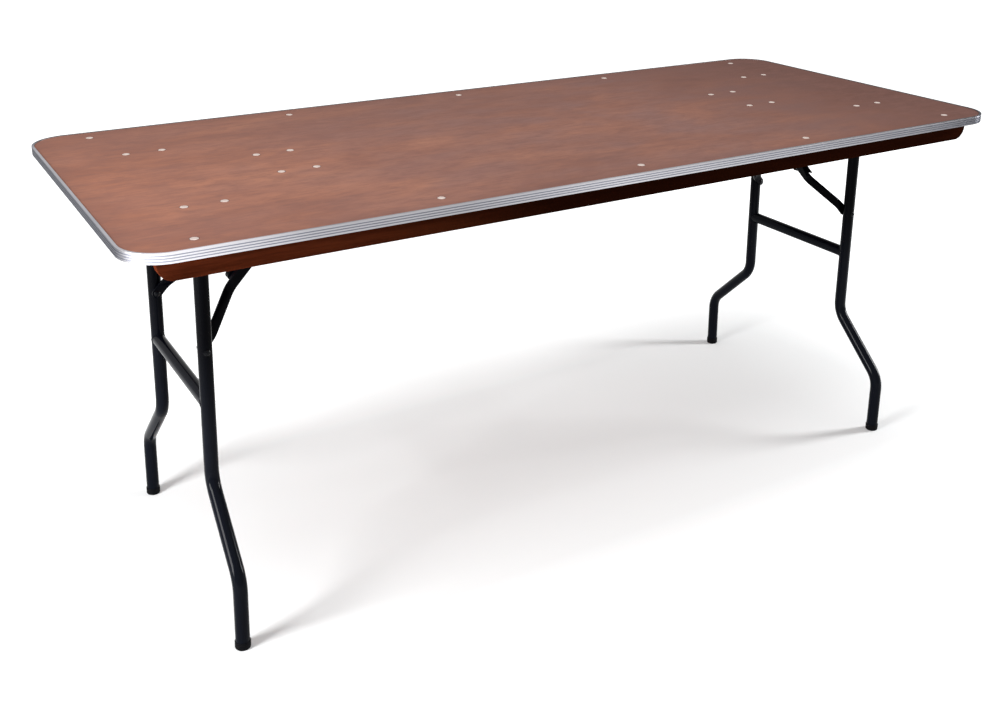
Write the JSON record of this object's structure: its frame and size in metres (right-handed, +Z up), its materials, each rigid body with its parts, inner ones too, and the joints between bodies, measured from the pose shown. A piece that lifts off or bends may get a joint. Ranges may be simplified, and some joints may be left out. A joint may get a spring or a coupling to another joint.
{
  "type": "folding buffet table",
  "caption": "Rectangular folding buffet table: stained plywood top with a fluted metal edge and side rails, on bent-tube leg sets that fold inward under it on jointed braces.",
  "frame": {"origin": "on the floor under the middle of the top", "axes": "+X along the table's length, +Y across it from front to rear, +Z up"},
  "size_m": [1.829, 0.762, 0.762],
  "materials": {
    "top_plywood": "stained plywood under a satin clear coat",
    "rail_wood": "dark stained hardwood under a satin clear coat",
    "edge_aluminium": "fluted extrusion, satin mill finish",
    "fastener_metal": "plain bright heads",
    "black_steel": "glossy black enamel",
    "pin_steel": "semi-gloss black enamel",
    "cap_plastic": "matte black"
  },
  "bodies": {
    "top": {"plywood_top": "top_plywood", "edge_moulding": "edge_aluminium", "side_rail_front": "rail_wood", "side_rail_rear": "rail_wood", "rail_screws": "fastener_metal", "leg_pivot_pins": "pin_steel", "brace_top_pins": "pin_steel", "leg_bracket_left_front": "black_steel", "leg_bracket_left_rear": "black_steel", "leg_bracket_right_front": "black_steel", "leg_bracket_right_rear": "black_steel", "brace_bracket_left_front": "black_steel", "brace_bracket_left_rear": "black_steel", "brace_bracket_right_front": "black_steel", "brace_bracket_right_rear": "black_steel", "leg_bracket_rivets_left": "fastener_metal", "leg_bracket_rivets_right": "fastener_metal", "brace_bracket_rivets_left": "fastener_metal", "brace_bracket_rivets_right": "fastener_metal"},
    "leg_set_left": {"leg_tube_left_front": "black_steel", "leg_tube_left_rear": "black_steel", "crossbar_left": "black_steel", "foot_cap_left_front": "cap_plastic", "foot_cap_left_rear": "cap_plastic", "brace_leg_rivets_left": "pin_steel"},
    "leg_set_right": {"leg_tube_right_front": "black_steel", "leg_tube_right_rear": "black_steel", "crossbar_right": "black_steel", "foot_cap_right_front": "cap_plastic", "foot_cap_right_rear": "cap_plastic", "brace_leg_rivets_right": "pin_steel"},
    "strap_left_front": {"brace_strap_left_front": "black_steel", "strap_rivet_left_front": "pin_steel"},
    "channel_left_front": {"brace_channel_left_front": "black_steel", "channel_rivet_left_front": "pin_steel"},
    "strap_left_rear": {"brace_strap_left_rear": "black_steel", "strap_rivet_left_rear": "pin_steel"},
    "channel_left_rear": {"brace_channel_left_rear": "black_steel", "channel_rivet_left_rear": "pin_steel"},
    "strap_right_front": {"brace_strap_right_front": "black_steel", "strap_rivet_right_front": "pin_steel"},
    "channel_right_front": {"brace_channel_right_front": "black_steel", "channel_rivet_right_front": "pin_steel"},
    "strap_right_rear": {"brace_strap_right_rear": "black_steel", "strap_rivet_right_rear": "pin_steel"},
    "channel_right_rear": {"brace_channel_right_rear": "black_steel", "channel_rivet_right_rear": "pin_steel"}
  },
  "joints": [
    {"name": "leg_fold_left", "type": "hinge", "parent": "top", "child": "leg_set_left", "pos_m": [-0.7485, 0, 0.724], "axis": [0, -1, 0], "range_deg": [0, 91.43]},
    {"name": "leg_fold_right", "type": "hinge", "parent": "top", "child": "leg_set_right", "pos_m": [0.7485, 0, 0.724], "axis": [0, 1, 0], "range_deg": [0, 91.43]},
    {"name": "strap_turn_left_front", "type": "hinge", "parent": "leg_set_left", "child": "strap_left_front", "pos_m": [-0.75409, -0.13835, 0.50007], "axis": [0, -1, 0], "range_deg": [0, 42.82]},
    {"name": "channel_turn_left_front", "type": "hinge", "parent": "top", "child": "channel_left_front", "pos_m": [-0.5518, -0.0761, 0.717], "axis": [0, 1, 0], "range_deg": [0, 48.5]},
    {"name": "strap_turn_left_rear", "type": "hinge", "parent": "leg_set_left", "child": "strap_left_rear", "pos_m": [-0.75409, 0.13835, 0.50007], "axis": [0, -1, 0], "range_deg": [0, 42.82]},
    {"name": "channel_turn_left_rear", "type": "hinge", "parent": "top", "child": "channel_left_rear", "pos_m": [-0.5518, 0.0761, 0.717], "axis": [0, 1, 0], "range_deg": [0, 48.5]},
    {"name": "strap_turn_right_front", "type": "hinge", "parent": "leg_set_right", "child": "strap_right_front", "pos_m": [0.75409, -0.13835, 0.50007], "axis": [0, 1, 0], "range_deg": [0, 42.82]},
    {"name": "channel_turn_right_front", "type": "hinge", "parent": "top", "child": "channel_right_front", "pos_m": [0.5518, -0.0761, 0.717], "axis": [0, -1, 0], "range_deg": [0, 48.5]},
    {"name": "strap_turn_right_rear", "type": "hinge", "parent": "leg_set_right", "child": "strap_right_rear", "pos_m": [0.75409, 0.13835, 0.50007], "axis": [0, 1, 0], "range_deg": [0, 42.82]},
    {"name": "channel_turn_right_rear", "type": "hinge", "parent": "top", "child": "channel_right_rear", "pos_m": [0.5518, 0.0761, 0.717], "axis": [0, -1, 0], "range_deg": [0, 48.5]}
  ],
  "couplings": [
    {"joint": "strap_turn_left_front", "follows": "leg_fold_left", "ratio": 0.46821},
    {"joint": "channel_turn_left_front", "follows": "leg_fold_left", "ratio": 0.53034},
    {"joint": "strap_turn_left_rear", "follows": "leg_fold_left", "ratio": 0.46821},
    {"joint": "channel_turn_left_rear", "follows": "leg_fold_left", "ratio": 0.53034},
    {"joint": "strap_turn_right_front", "follows": "leg_fold_right", "ratio": 0.46821},
    {"joint": "channel_turn_right_front", "follows": "leg_fold_right", "ratio": 0.53034},
    {"joint": "strap_turn_right_rear", "follows": "leg_fold_right", "ratio": 0.46821},
    {"joint": "channel_turn_right_rear", "follows": "leg_fold_right", "ratio": 0.53034}
  ]
}
